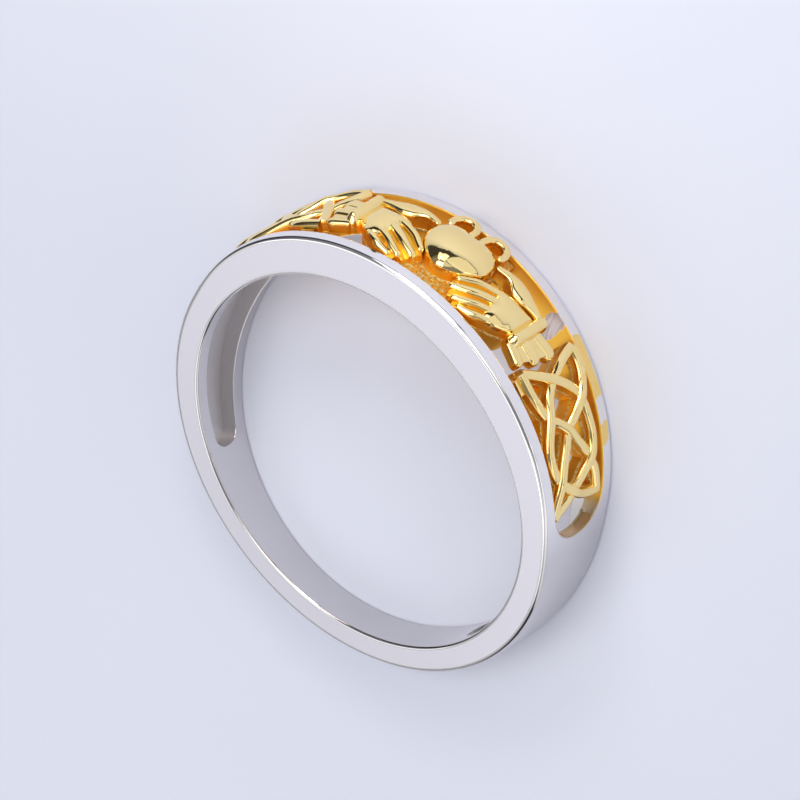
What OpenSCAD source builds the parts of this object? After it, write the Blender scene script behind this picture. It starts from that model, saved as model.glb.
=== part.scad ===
// Claddagh ring: a tapering silver band with two rails and an open window between them, and in the
// window a pierced gold inlay of a crowned heart held by two hands, with a woven knot on each side.
// The ring lies on its far side face. The front is at -Y, and the finger hole runs nearly along Z.
// Lengths are millimetres and angles are degrees from the front.

/* [Band] */
// Inside diameter, the size of the finger
bore_d = 17.3; // [15:0.1:21]
// Wall at the back
wall_back = 1.22; // [1.1:0.02:1.8]
// Wall at the sides, a quarter turn from the front
wall_side = 1.32; // [1.2:0.02:1.9]
// Wall at the front
wall_front = 1.98; // [1.8:0.02:2.5]
// How far the centre of the front round lies in front of the finger hole's axis
front_shift = 0.81; // [0.6:0.01:1]
// Width at the front
width_front = 5.97; // [5.2:0.05:7.5]
// Width at the back
width_back = 1.65; // [1.3:0.05:2.4]
// Bevel on the two outer edges
edge_bevel = 0.2; // [0.1:0.02:0.3]
// Bevel on the two edges of the finger hole
bore_bevel = 0.2; // [0.1:0.02:0.3]

/* [Window] */
// Width of the rail on each side of the window
rail_w = 0.68; // [0.5:0.02:0.9]
// Angle of the rounded end of the window
window_end = 75; // [72:0.5:82]
// Radius of the rounded end
window_end_r = 1.62; // [1.4:0.02:1.9]
// Depth of the recess inside the shoulders, which carries the window on towards the back
recess_depth = 0.68; // [0.4:0.02:0.8]
// Angle at which the recess ends
recess_end = 128; // [110:1:135]
// Radius of the rounded end of the recess
recess_end_r = 0.65; // [0.5:0.05:0.9]

/* [Inlay] */
// Air between the inlay's pieces and the rails, and between one piece and the next
fit_gap = 0.04; // [0.02:0.01:0.08]
// Air between the inlay's underside and the finger
under_gap = 0.7; // [0.4:0.05:0.8]
// Thickness of the plate under the heart and the fingers
plate_t = 0.5; // [0.4:0.05:0.7]
// Depth of that plate's top below the band's surface
plate_depth = 0.3; // [0.1:0.05:0.5]

/* [Heart] */
// Width along the band
heart_w = 3.2; // [2.6:0.1:3.6]
// Length across the band, from the lobes to the point
heart_l = 2.75; // [2.3:0.05:3]
// Place of the heart's middle across the band, towards the near rail
heart_mid = 0.08; // [0:0.02:0.2]
// Height of the heart's top above the band
heart_rise = 0.95; // [0.7:0.05:1.1]

/* [Crown] */
// Wire of the crown's loops, seen from above
crown_wire = 0.3; // [0.24:0.02:0.36]
// Height of the crown above the band
crown_rise = 0.42; // [0.3:0.02:0.6]
// Angle of the crown's outer end
crown_end = 7.2; // [6.4:0.1:8]

/* [Hands] */
// Angle of the middle of each cuff
cuff_at = 24; // [22:0.5:25]
// Thickness of a cuff along the band
cuff_t = 0.68; // [0.5:0.02:0.8]
// Length of a cuff across the band
cuff_l = 2.4; // [2:0.05:2.8]
// Place of the cuff's middle across the band
cuff_mid = 0.22; // [0:0.02:0.3]
// Height of a cuff above the band
cuff_rise = 0.68; // [0.5:0.02:0.8]
// Height of the back of a hand above the band
hand_rise = 0.66; // [0.5:0.02:0.8]
// Width of a finger
finger_w = 0.36; // [0.3:0.02:0.42]
// Width of a thumb where it is widest
thumb_w = 0.9; // [0.7:0.05:1]
// Width of the widest fold of a sleeve
sleeve_w = 0.74; // [0.6:0.02:0.8]
// Height of a sleeve above the band
sleeve_rise = 0.42; // [0.3:0.02:0.5]
// Depth of the underside of a cuff and a sleeve below the band's surface at the front
sleeve_depth = 0.35; // [0.2:0.05:0.6]

/* [Knots] */
// Angle of a knot's first corner, beside the sleeve
knot_from = 31; // [30.5:0.5:34]
// Angle of a knot's last corner, at the window's end
knot_to = 67.5; // [64:0.5:69]
// Width of a strand
strand_w = 0.43; // [0.34:0.01:0.48]
// Height of the first strands above the band
knot_rise = 0.3; // [0.2:0.02:0.4]
// How far a strand rises where it passes over, and sinks where it passes under
weave = 0.11; // [0.06:0.01:0.16]

/* [Hidden] */

// Longer than the ring is in any direction, for shapes that cut right through
beyond = 30;
// Sides of the large rounds, of a post, and the steps between two rows of an outline's table
round_sides = 96;
post_sides = 8;
outline_steps = 2;
// Share of a post's width that its rounded shoulder takes
shoulder_share = 1 / 4;
// Share of a fold's height that the web between the folds has
web_share = 0.3;
// Turn of the underside's round, which keeps its corners away from those of the forms above
underside_turn = 1;
bore_r = bore_d / 2;
// The outside is two rounds: one through the back and the sides, and one through the front
back_r = ((bore_r + wall_back) + pow(bore_r + wall_side, 2) / (bore_r + wall_back)) / 2;
back_shift = back_r - (bore_r + wall_back);
front_r = bore_r + wall_front - front_shift;
front_reach = bore_r + wall_front;
back_reach = bore_r + wall_back;
// The side faces are flat and lean together towards the back
taper = (width_front - width_back) / 2 / (front_reach + back_reach);
side_mid = width_front / 2 - taper * front_reach;
lean = atan(taper);
// The round ends of the window and the recess are turned about these angles
window_turn = window_end - window_end_r / back_r * 180 / PI;
recess_turn = recess_end - recess_end_r / bore_r * 180 / PI;
inlay_floor = bore_r + under_gap;
// The inlay's pieces are made too deep and then cut off on one round underside
inlay_root = inlay_floor - under_gap;
// The cuffs and the sleeves are thinner
sleeve_root = front_reach - sleeve_depth;
front_half = side_mid + taper * front_reach - rail_w;
// The ring stands with its origin under the middle of its outline
centre_y = (front_reach + heart_rise - back_reach) / 2 * cos(lean);
rest_z = side_mid * cos(lean);

// Half of the heart's outline, from the dip between its lobes to its point
// Columns: share of half its width along the band, share of its length towards the near rail, share of
// heart_rise at the edge
HEART = [
    [0.00, -0.47, 0.3], [0.30, -0.50, 0.3], [0.60, -0.48, 0.3], [0.82, -0.39, 0.3], [0.96, -0.24, 0.28],
    [1.00, -0.08, 0.28], [0.94, 0.06, 0.3], [0.80, 0.19, 0.36], [0.60, 0.31, 0.46], [0.38, 0.41, 0.58],
    [0.18, 0.475, 0.74],
];
// The heart's point
// Columns: as in HEART
HEART_POINT = [0, 0.5, 0.88];
// Rings of the heart's puffed top
// Columns: share of the outline, share of the way up from the edge
HEART_RINGS = [[1, 0], [0.95, 0.4], [0.82, 0.7], [0.58, 0.9], [0.3, 0.98]];
// One loop of the crown, from beside the middle round to the outer end
// Columns: share of crown_end, share of the front half window
CROWN = [
    [0.20, -0.50], [0.21, -0.70], [0.33, -0.86], [0.60, -0.915], [0.88, -0.85], [1.00, -0.69], [0.96, -0.52],
];
// Outline of the back of a hand
// Columns: share of cuff_at, share of the front half window, share of hand_rise at the edge
PALM = [
    [0.95, -0.20, 0.55], [0.95, 0.34, 0.55], [0.86, 0.57, 0.55], [0.79, 0.73, 0.55], [0.72, 0.82, 0.55],
    [0.665, 0.73, 0.55], [0.61, 0.50, 0.55], [0.57, 0.22, 0.55], [0.53, 0.06, 0.55], [0.54, -0.05, 0.55],
    [0.63, -0.12, 0.55], [0.77, -0.16, 0.55],
];
// The middle of the back of a hand
// Columns: share of cuff_at, share of the front half window
PALM_MIDDLE = [0.73, 0.28];
// Rings of its domed top
// Columns: as in HEART_RINGS
PALM_RINGS = [[1, 0], [0.9, 0.64], [0.65, 0.93], [0.35, 1]];
// The four fingers, from the one nearest the cuff to the one along the heart
// Columns: share of cuff_at, share of the front half window, share of hand_rise, share of finger_w
FINGERS = [
    [[0.73, 0.70, 0.75, 0.85], [0.605, 0.85, 0.55, 0.85], [0.51, 0.89, 0.3, 0.85], [0.41, 0.91, 0.1, 0.7]],
    [[0.68, 0.52, 0.8, 0.9], [0.55, 0.67, 0.71, 0.9], [0.445, 0.78, 0.53, 0.9], [0.315, 0.88, 0.22, 0.75]],
    [[0.64, 0.27, 0.8, 1.1], [0.47, 0.48, 0.79, 1.2], [0.34, 0.615, 0.6, 1.15], [0.21, 0.70, 0.3, 0.95]],
    [[0.60, 0.08, 0.8, 0.95], [0.40, 0.25, 0.73, 0.95], [0.30, 0.38, 0.6, 0.9], [0.21, 0.50, 0.45, 0.75]],
];
// The thumb, from the cuff to its tip beside the heart
// Columns: share of cuff_at, share of the front half window, share of hand_rise, share of thumb_w
THUMB = [
    [0.90, -0.31, 0.78, 0.4], [0.81, -0.325, 0.78, 0.62], [0.73, -0.34, 0.78, 0.92], [0.65, -0.37, 0.76, 0.95],
    [0.565, -0.42, 0.72, 0.68], [0.48, -0.43, 0.68, 0.42], [0.40, -0.40, 0.64, 0.34], [0.34, -0.37, 0.6, 0.28],
];
// The three folds of a sleeve, from the near side to the far side
// Columns: share of the front half window, share of sleeve_w, share of sleeve_rise, share of the way to
// the knot
SLEEVE = [[0.60, 0.62, 0.85, 0.72], [0.29, 0.86, 1, 0.94], [-0.04, 1, 0.9, 0.98]];
// The plate under the heart and the fingers, in two parts which both reach the near rail
// Columns: share of cuff_at on each side, share of the front half window where it begins
PLATE = [[0.38, -1], [0.6, 0.22]];
// A knot is one endless strand with four corners, in four runs from corner to corner
// Columns: share of the knot's length, share of the half window there, 1 over or -1 under
KNOT = [
    [
        [0.00, 0.76, 0], [0.12, 0.76, 0], [0.23, 0.70, 0], [0.325, 0.53, -1], [0.39, 0.28, 0], [0.475, 0.01, 1],
        [0.56, -0.18, 0], [0.64, -0.40, 0], [0.71, -0.58, -1], [0.79, -0.72, 0], [0.88, -0.79, 0], [0.965, -0.86, 0],
    ],
    [
        [0.965, -0.86, 0], [0.963, -0.60, 0], [0.93, -0.15, 0], [0.88, 0.12, 1], [0.82, 0.41, 0],
        [0.775, 0.59, -1], [0.68, 0.78, 0], [0.57, 0.84, 0], [0.45, 0.70, 0], [0.325, 0.49, 1], [0.23, 0.355, 0],
        [0.175, 0.17, 0], [0.137, -0.02, -1], [0.085, -0.26, 0], [0.04, -0.57, 0], [0.016, -0.82, 0],
    ],
    [
        [0.016, -0.82, 0], [0.10, -0.86, 0], [0.19, -0.83, 0], [0.26, -0.73, 0], [0.315, -0.60, 1],
        [0.37, -0.42, 0], [0.42, -0.19, 0], [0.47, 0.01, -1], [0.56, 0.21, 0], [0.67, 0.44, 0],
        [0.775, 0.61, 1], [0.885, 0.79, 0], [1.00, 0.97, 0],
    ],
    [
        [1.00, 0.97, 0], [0.955, 0.62, 0], [0.915, 0.30, 0], [0.88, 0.08, -1], [0.83, -0.12, 0],
        [0.775, -0.34, 0], [0.715, -0.58, 1], [0.64, -0.70, 0], [0.55, -0.73, 0], [0.44, -0.66, 0],
        [0.36, -0.64, 0], [0.305, -0.59, -1], [0.235, -0.44, 0], [0.145, -0.05, 1], [0.09, 0.21, 0],
        [0.04, 0.50, 0], [0.00, 0.76, 0],
    ],
];
// The web that ties a knot's first corner to the near rail
// Columns: share of the knot's length, share of the half window there
KNOT_TIE = [[0.0, 0.80], [0.02, 0.96], [0.12, 0.98], [0.12, 0.80]];

// Distance of one round's surface from the finger hole's axis, at an angle from the front
function round_at(a, r, shift) = shift * cos(a) + sqrt(r * r - pow(shift * sin(a), 2));
function surface_at(a) = max(round_at(a, back_r, back_shift), round_at(a, front_r, front_shift));
function half_window(a) = side_mid + taper * surface_at(a) * cos(a) - rail_w;
function degrees_along(length) = length / front_reach * 180 / PI;
// A point at an angle from the front, across towards the near side, at a radius
function place(a, across, r) = [r * sin(a), -r * cos(a), across];
// A smooth curve through a table's rows, every column alike
function curve_at(rows, i, t) =
    let (
        a = rows[max(i - 1, 0)],
        b = rows[i],
        c = rows[i + 1],
        d = rows[min(i + 2, len(rows) - 1)]
    )
    b + (c - a) * t / 2 + (2 * a - 5 * b + 4 * c - d) * t * t / 2 + (3 * b - a - 3 * c + d) * t * t * t / 2;
function curve(rows, steps) =
    [for (i = [0 : len(rows) - 2], s = [0 : steps - 1]) curve_at(rows, i, s / steps), rows[len(rows) - 1]];

// One side's flat face with its bevel, as all the space below the face and inside the bevel
module under_face(r, shift) {
    translate([0, -shift, side_mid + taper * shift])
        rotate([-lean, 0, 0])
            rotate_extrude($fn = round_sides)
                polygon([
                    [0, 0], [r - edge_bevel, 0], [r + wall_back, -edge_bevel - wall_back],
                    [r + wall_back, -beyond], [0, -beyond],
                ]);
}

module round_blank(r, shift) {
    intersection() {
        translate([0, -shift, -beyond / 2]) cylinder(r = r, h = beyond, $fn = round_sides);
        under_face(r, shift);
        mirror([0, 0, 1]) under_face(r, shift);
    }
}

// The space between the rails, all round the ring
module between_rails(gap) {
    intersection_for (side = [0, 1])
        mirror([0, 0, side])
            translate([0, 0, side_mid - rail_w - gap])
                rotate([-lean, 0, 0])
                    translate([-beyond, -beyond, -beyond]) cube([2 * beyond, 2 * beyond, beyond]);
}

// A round hole through the wall at an angle
module radial_hole(a, r) {
    rotate([0, 0, a]) rotate([90, 0, 0]) cylinder(r = r, h = beyond, $fn = 48);
}

module window(gap) {
    reach = beyond * sin(window_turn);
    intersection() {
        between_rails(gap);
        union() {
            translate([0, 0, -beyond / 2])
                linear_extrude(beyond)
                    polygon([
                        [0, 0], [-reach, -beyond * cos(window_turn)], [-reach, -beyond], [reach, -beyond],
                        [reach, -beyond * cos(window_turn)],
                    ]);
            for (side = [-1, 1]) radial_hole(side * window_turn, window_end_r - gap);
        }
    }
}

module recess() {
    reach = beyond * sin(recess_turn);
    intersection() {
        between_rails(0);
        translate([0, 0, -beyond / 2]) cylinder(r = bore_r + recess_depth, h = beyond, $fn = round_sides);
        union() {
            difference() {
                cube(2 * beyond, center = true);
                translate([0, 0, -beyond])
                    linear_extrude(2 * beyond)
                        polygon([
                            [0, 0], [reach, -beyond * cos(recess_turn)], [0, 3 * beyond],
                            [-reach, -beyond * cos(recess_turn)],
                        ]);
            }
            for (side = [-1, 1]) radial_hole(side * recess_turn, recess_end_r);
        }
    }
}

// The finger hole, opened by a bevel at each side face
module finger_hole() {
    flare = wall_back;
    translate([0, 0, -beyond / 2]) cylinder(r = bore_r, h = beyond, $fn = round_sides);
    for (side = [0, 1])
        mirror([0, 0, side])
            translate([0, 0, side_mid])
                rotate([-lean, 0, 0])
                    translate([0, 0, -flare])
                        cylinder(
                            r1 = bore_r + bore_bevel - flare, r2 = bore_r + bore_bevel + flare, h = 2 * flare,
                            $fn = round_sides
                        );
}

// Lays the ring down on its far side face
module laid_down() {
    translate([0, centre_y, rest_z]) rotate([-lean, 0, 0]) children();
}

// An upright post from a root, its top rounded over
module post(a, across, width, top, root = inlay_root) {
    shoulder = width * shoulder_share;
    rotate([0, 0, a])
        translate([0, 0, across])
            rotate([90, 0, 0]) {
                translate([0, 0, root]) cylinder(d = width, h = top - shoulder - root, $fn = post_sides);
                translate([0, 0, top - shoulder])
                    cylinder(d1 = width, d2 = width / 2, h = shoulder, $fn = post_sides);
            }
}

// A wire of posts along a path
// Columns: angle, place across, height above the band, width
module wire(path, root = inlay_root) {
    for (i = [0 : len(path) - 2])
        hull()
            for (p = [path[i], path[i + 1]]) post(p[0], p[1], p[3], surface_at(p[0]) + p[2], root);
}

// A raised form with a domed top, from its outline of angles, places across and shares of the rise at
// the edge, and its table of rings. Seen from outside with the near rail above, the outline runs towards
// larger angles along the bottom.
module boss(outline, centre, rings, rise) {
    n = len(outline);
    foot = [for (p = outline) place(p[0], p[1], inlay_root)];
    rows = [
        for (ring = rings, p = outline)
            let (a = centre[0] + (p[0] - centre[0]) * ring[0])
                place(
                    a, centre[1] + (p[1] - centre[1]) * ring[0],
                    surface_at(a) + rise * (p[2] + (1 - p[2]) * ring[1])
                ),
    ];
    top = place(centre[0], centre[1], surface_at(centre[0]) + rise);
    under = place(centre[0], centre[1], inlay_root);
    levels = len(rings) + 1;
    sides = [
        for (k = [0 : levels - 2], i = [0 : n - 1], half = [0, 1])
            let (j = (i + 1) % n, low = k * n, high = low + n)
                half == 0 ? [low + i, high + j, low + j] : [low + i, high + i, high + j],
    ];
    ends = [
        for (i = [0 : n - 1], half = [0, 1])
            let (j = (i + 1) % n, last = (levels - 1) * n)
                half == 0 ? [last + j, last + i, levels * n] : [i, j, levels * n + 1],
    ];
    polyhedron(points = concat(foot, rows, [top, under]), faces = concat(sides, ends));
}

module heart() {
    half = degrees_along(heart_w / 2);
    right = [
        for (p = concat(curve(HEART, outline_steps), [HEART_POINT]))
            [p[0] * half, heart_mid + p[1] * heart_l, p[2]],
    ];
    left = [for (i = [len(right) - 2 : -1 : 1]) [-right[i][0], right[i][1], right[i][2]]];
    boss(concat(right, left), [0, heart_mid], HEART_RINGS, heart_rise);
}

module crown() {
    for (side = [-1, 1])
        wire([for (p = CROWN) [side * p[0] * crown_end, p[1] * front_half, crown_rise, crown_wire]]);
}

module cuff() {
    hull()
        for (side = [-1, 1]) {
            post(
                cuff_at, cuff_mid + side * (cuff_l - cuff_t) / 2, cuff_t, surface_at(cuff_at) + cuff_rise,
                sleeve_root
            );
        }
}

module hand() {
    palm = curve(concat(PALM, [PALM[0]]), outline_steps);
    boss(
        [for (i = [0 : len(palm) - 2]) [palm[i][0] * cuff_at, palm[i][1] * front_half, palm[i][2]]],
        [PALM_MIDDLE[0] * cuff_at, PALM_MIDDLE[1] * front_half], PALM_RINGS, hand_rise
    );
    for (finger = FINGERS)
        wire([
            for (p = finger)
                [p[0] * cuff_at, p[1] * front_half, p[2] * hand_rise, p[3] * finger_w],
        ]);
    wire([for (p = THUMB) [p[0] * cuff_at, p[1] * front_half, p[2] * hand_rise, p[3] * thumb_w]]);
    cuff();
}

// The two ends of a fold, as rows of a wire, with its height changed by a share
function fold_ends(fold, share) =
    let (width = fold[1] * sleeve_w, end = cuff_at + (knot_from - cuff_at) * fold[3])
    [
        for (a = [cuff_at, end - degrees_along(width / 2)])
            [a, fold[0] * front_half, share * fold[2] * sleeve_rise, width],
    ];

// Three folds on a low web
module sleeve() {
    for (fold = SLEEVE) wire(fold_ends(fold, 1), sleeve_root);
    hull()
        for (fold = [SLEEVE[0], SLEEVE[2]], p = fold_ends(fold, web_share))
            post(p[0], p[1], p[3], surface_at(p[0]) + p[2], sleeve_root);
}

module plate() {
    top = front_reach - plate_depth;
    for (part = PLATE)
        let (half = part[0] * cuff_at, begin = part[1] * front_half)
            rotate([0, 0, -90 - half])
                rotate_extrude(angle = 2 * half, $fn = round_sides)
                    translate([top - plate_t, begin]) square([plate_t, front_half - begin]);
}

// Gold pieces laid down in the window, clear of the rails and of the finger
module inlay() {
    color("gold")
        laid_down()
            intersection() {
                window(fit_gap);
                difference() {
                    children();
                    rotate([0, 0, underside_turn])
                        translate([0, 0, -beyond / 2]) cylinder(r = inlay_floor, h = beyond, $fn = round_sides);
                }
            }
}

module claddagh() {
    inlay() {
        heart();
        crown();
        plate();
        for (side = [0, 1])
            mirror([side, 0, 0]) {
                hand();
                sleeve();
            }
    }
}

module knot() {
    span = knot_to - knot_from;
    for (run = KNOT)
        wire([
            for (p = run)
                let (a = knot_from + p[0] * span)
                    [a, p[1] * half_window(a), knot_rise * (1 - p[0]) + weave * p[2], strand_w],
        ]);
    hull()
        for (p = KNOT_TIE)
            let (a = knot_from + p[0] * span)
                post(a, p[1] * half_window(a), strand_w / 2, surface_at(a));
}

module knot_left() {
    inlay() knot();
}

module knot_right() {
    inlay() mirror([1, 0, 0]) knot();
}

module band() {
    color("silver")
        laid_down()
            difference() {
                union() {
                    round_blank(back_r, back_shift);
                    round_blank(front_r, front_shift);
                }
                finger_hole();
                window(0);
                recess();
            }
}

band();
claddagh();
knot_left();
knot_right();
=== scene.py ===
"""Claddagh ring: a polished silver band with satin sides, and in its window a pierced gold inlay."""
import math

import bmesh
import bpy
import numpy as np
from mathutils import Matrix, Vector
from mathutils.geometry import delaunay_2d_cdt


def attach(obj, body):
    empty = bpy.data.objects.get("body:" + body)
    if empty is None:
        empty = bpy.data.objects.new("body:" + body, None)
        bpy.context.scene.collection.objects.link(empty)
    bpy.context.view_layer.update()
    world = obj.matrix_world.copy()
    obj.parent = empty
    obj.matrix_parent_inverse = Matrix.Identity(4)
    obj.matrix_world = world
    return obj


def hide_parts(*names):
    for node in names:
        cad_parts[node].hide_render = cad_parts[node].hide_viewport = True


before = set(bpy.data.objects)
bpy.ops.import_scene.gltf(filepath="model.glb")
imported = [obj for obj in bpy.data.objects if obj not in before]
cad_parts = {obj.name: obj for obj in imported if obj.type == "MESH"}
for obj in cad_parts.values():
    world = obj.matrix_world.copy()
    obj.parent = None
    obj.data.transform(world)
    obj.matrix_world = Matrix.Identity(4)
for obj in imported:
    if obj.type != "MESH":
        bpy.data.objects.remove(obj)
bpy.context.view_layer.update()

# Sizes of the band as in the CAD model, in millimetres, and its angles in degrees from the front
BORE_R = 8.65
WALL_BACK = 1.22
WALL_SIDE = 1.32
WALL_FRONT = 1.98
FRONT_SHIFT = 0.81
WIDTH_FRONT = 5.97
WIDTH_BACK = 1.65
RAIL_W = 0.68
WINDOW_END = 75
WINDOW_END_R = 1.62
RECESS_DEPTH = 0.68
RECESS_END = 128
RECESS_END_R = 0.65
UNDER_GAP = 0.7
FIT_GAP = 0.04
# Rounds of the outer edges, the finger hole, the window's rim and the recess's lip. The CAD model has
# bevels on the first two and sharp edges on the others.
EDGE_ROUND = 0.2
BORE_ROUND = 0.14
RIM_ROUND = 0.09
LIP_ROUND = 0.06
# Angle up to which the window's walls are plated down to the finger hole
PLATED_TO = WINDOW_END - 4
# How softly the band's two rounds pass into each other, and how square the ends of the window and the
# recess are, where 2 is round
ROUNDS_SOFT = 0.05
END_SQUARENESS = 2.3
# Corners of the band that round to the same step, this many in a millimetre, are one point. The offset
# keeps round numbers off the limit between two steps.
WELD_GRID = 2e4
WELD_OFFSET = 0.31
# Spacing of the points that fill the band's round faces and the recess's ceiling, and the share of it
# that they keep clear of the rim
ROUND_STEP = 0.3
CEILING_STEP = 0.25
CLEAR_OF_RIM = 0.6
# Steps round an end of the window, and across the seam at the back
END_STEPS = 28
SEAM_STEPS = 8
# A radius close to the outside, to find a place's angle with
ABOUT_SURFACE = 10

# Sizes of the inlay as in the CAD model. The crown's wire and the knots' strands are a little wider
# than there, because their tops are rounded here.
HEART_W = 3.2
HEART_L = 2.75
HEART_MID = 0.08
HEART_RISE = 0.95
CROWN_WIRE = 0.34
CROWN_RISE = 0.42
CROWN_END = 7.2
CUFF_AT = 24
CUFF_T = 0.68
CUFF_L = 2.4
CUFF_MID = 0.22
CUFF_RISE = 0.68
HAND_RISE = 0.66
FINGER_W = 0.36
THUMB_W = 0.9
BED_W = 0.5
BED_DROP = 0.2
SLEEVE_W = 0.74
SLEEVE_RISE = 0.42
SLEEVE_DEPTH = 0.35
WEB_SHARE = 0.72
KNOT_FROM = 31
KNOT_TO = 67.5
STRAND_W = 0.47
KNOT_RISE = 0.3
WEAVE = 0.11
PLATE_T = 0.5
PLATE_DEPTH = 0.3

# What follows from them
BACK_REACH = BORE_R + WALL_BACK
FRONT_REACH = BORE_R + WALL_FRONT
BACK_R = (BACK_REACH + (BORE_R + WALL_SIDE) ** 2 / BACK_REACH) / 2
BACK_SHIFT = BACK_R - BACK_REACH
FRONT_R = FRONT_REACH - FRONT_SHIFT
TAPER = (WIDTH_FRONT - WIDTH_BACK) / 2 / (FRONT_REACH + BACK_REACH)
SIDE_MID = WIDTH_FRONT / 2 - TAPER * FRONT_REACH
LEAN = math.atan(TAPER)
WINDOW_TURN = WINDOW_END - math.degrees(WINDOW_END_R / BACK_R)
RECESS_TURN = RECESS_END - math.degrees(RECESS_END_R / BORE_R)
RECESS_R = BORE_R + RECESS_DEPTH
INLAY_FLOOR = BORE_R + UNDER_GAP
SLEEVE_FLOOR = FRONT_REACH - SLEEVE_DEPTH
FRONT_HALF = SIDE_MID + TAPER * FRONT_REACH - RAIL_W
CENTRE_Y = (FRONT_REACH + HEART_RISE - BACK_REACH) / 2 * math.cos(LEAN)
REST_Z = SIDE_MID * math.cos(LEAN)
LAID_DOWN = (
    Matrix.Scale(0.001, 4)
    @ Matrix.Translation((0, CENTRE_Y, REST_Z))
    @ Matrix.Rotation(-LEAN, 4, "X")
)

# Half of the heart's outline, from the dip between its lobes to its point
# Columns: share of half its width along the band, share of its length towards the near rail,
# share of its rise at the edge
HEART = [
    [0.00, -0.47, 0.3], [0.30, -0.50, 0.3], [0.60, -0.48, 0.3], [0.82, -0.39, 0.3], [0.96, -0.24, 0.28],
    [1.00, -0.08, 0.26], [0.94, 0.06, 0.25], [0.80, 0.19, 0.25], [0.60, 0.31, 0.26], [0.38, 0.41, 0.28],
    [0.18, 0.475, 0.3], [0.0, 0.5, 0.32],
]
# One loop of the crown. Columns: share of CROWN_END, share of the front half window
CROWN = [
    [0.20, -0.50], [0.21, -0.70], [0.33, -0.86], [0.60, -0.915],
    [0.88, -0.85], [1.00, -0.69], [0.96, -0.52],
]
# Outline of the back of a hand
# Columns: share of CUFF_AT, share of the front half window, share of the hand's rise at the edge
PALM = [
    [0.95, -0.20, 0.4], [0.95, 0.34, 0.4], [0.87, 0.55, 0.42], [0.79, 0.69, 0.46], [0.71, 0.75, 0.5],
    [0.645, 0.68, 0.5], [0.60, 0.48, 0.46], [0.57, 0.22, 0.4], [0.53, 0.06, 0.4], [0.54, -0.05, 0.4],
    [0.63, -0.12, 0.4], [0.77, -0.16, 0.4],
]
PALM_MIDDLE = [0.73, 0.28]
# The four fingers, from the one nearest the cuff to the one along the heart
# Columns: share of CUFF_AT, share of the front half window, share of HAND_RISE, share of FINGER_W
FINGERS = [
    [
        [0.82, 0.50, 0.4, 0.6], [0.73, 0.69, 0.6, 0.85], [0.605, 0.85, 0.55, 0.85], [0.51, 0.89, 0.3, 0.85],
        [0.41, 0.91, 0.1, 0.7],
    ],
    [
        [0.76, 0.38, 0.5, 0.7], [0.68, 0.52, 0.72, 0.9], [0.55, 0.67, 0.71, 0.9], [0.445, 0.78, 0.53, 0.9],
        [0.315, 0.88, 0.22, 0.75],
    ],
    [
        [0.74, 0.16, 0.5, 0.8], [0.64, 0.27, 0.78, 1.1], [0.47, 0.48, 0.79, 1.2], [0.34, 0.615, 0.6, 1.15],
        [0.21, 0.70, 0.3, 0.95],
    ],
    [
        [0.70, 0.02, 0.5, 0.7], [0.60, 0.08, 0.75, 0.95], [0.40, 0.25, 0.73, 0.95], [0.30, 0.38, 0.6, 0.9],
        [0.21, 0.50, 0.45, 0.75],
    ],
]
# The thumb, from the cuff to its tip. Columns: as for a finger, the last a share of THUMB_W
THUMB = [
    [0.97, -0.30, 0.78, 0.3], [0.90, -0.31, 0.78, 0.4], [0.81, -0.325, 0.78, 0.62],
    [0.73, -0.34, 0.78, 0.92], [0.65, -0.37, 0.76, 0.95], [0.565, -0.42, 0.72, 0.68],
    [0.48, -0.43, 0.68, 0.42], [0.40, -0.40, 0.64, 0.34], [0.34, -0.37, 0.6, 0.28],
]
# The three folds of a sleeve, from the near side to the far side
# Columns: share of the front half window at the cuff and at the end, share of SLEEVE_W,
# share of SLEEVE_RISE, share of the way to the knot
SLEEVE = [[0.56, 0.66, 0.62, 0.85, 0.8], [0.29, 0.27, 0.86, 1, 1.02], [-0.04, -0.16, 1, 0.9, 1.12]]
# The plate under the heart and the fingers, in two parts which both reach the near rail
# Columns: share of CUFF_AT on each side, share of the front half window where it begins
PLATE = [[0.38, -1], [0.6, 0.22]]
# A knot is one endless strand with four corners, in four runs from corner to corner
# Columns: share of the knot's length, share of the half window there, 1 over or -1 under
KNOT = [
    [
        [0.00, 0.76, 0], [0.12, 0.76, 0], [0.23, 0.70, 0], [0.325, 0.53, -1], [0.39, 0.28, 0],
        [0.475, 0.01, 1], [0.56, -0.18, 0], [0.64, -0.40, 0], [0.71, -0.58, -1], [0.79, -0.72, 0],
        [0.88, -0.79, 0], [0.965, -0.86, 0],
    ],
    [
        [0.965, -0.86, 0], [0.963, -0.60, 0], [0.93, -0.15, 0], [0.88, 0.12, 1], [0.82, 0.41, 0],
        [0.775, 0.59, -1], [0.68, 0.78, 0], [0.57, 0.84, 0], [0.45, 0.70, 0], [0.325, 0.49, 1],
        [0.23, 0.355, 0], [0.175, 0.17, 0], [0.137, -0.02, -1], [0.085, -0.26, 0], [0.04, -0.57, 0],
        [0.016, -0.82, 0],
    ],
    [
        [0.016, -0.82, 0], [0.10, -0.86, 0], [0.19, -0.83, 0], [0.26, -0.73, 0], [0.315, -0.60, 1],
        [0.37, -0.42, 0], [0.42, -0.19, 0], [0.47, 0.01, -1], [0.56, 0.21, 0], [0.67, 0.44, 0],
        [0.775, 0.61, 1], [0.885, 0.79, 0], [1.00, 0.97, 0],
    ],
    [
        [1.00, 0.97, 0], [0.955, 0.62, 0], [0.915, 0.30, 0], [0.88, 0.08, -1], [0.83, -0.12, 0],
        [0.775, -0.34, 0], [0.715, -0.58, 1], [0.64, -0.70, 0], [0.55, -0.73, 0], [0.44, -0.66, 0],
        [0.36, -0.64, 0], [0.305, -0.59, -1], [0.235, -0.44, 0], [0.145, -0.05, 1], [0.09, 0.21, 0],
        [0.04, 0.50, 0], [0.00, 0.76, 0],
    ],
]
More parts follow.
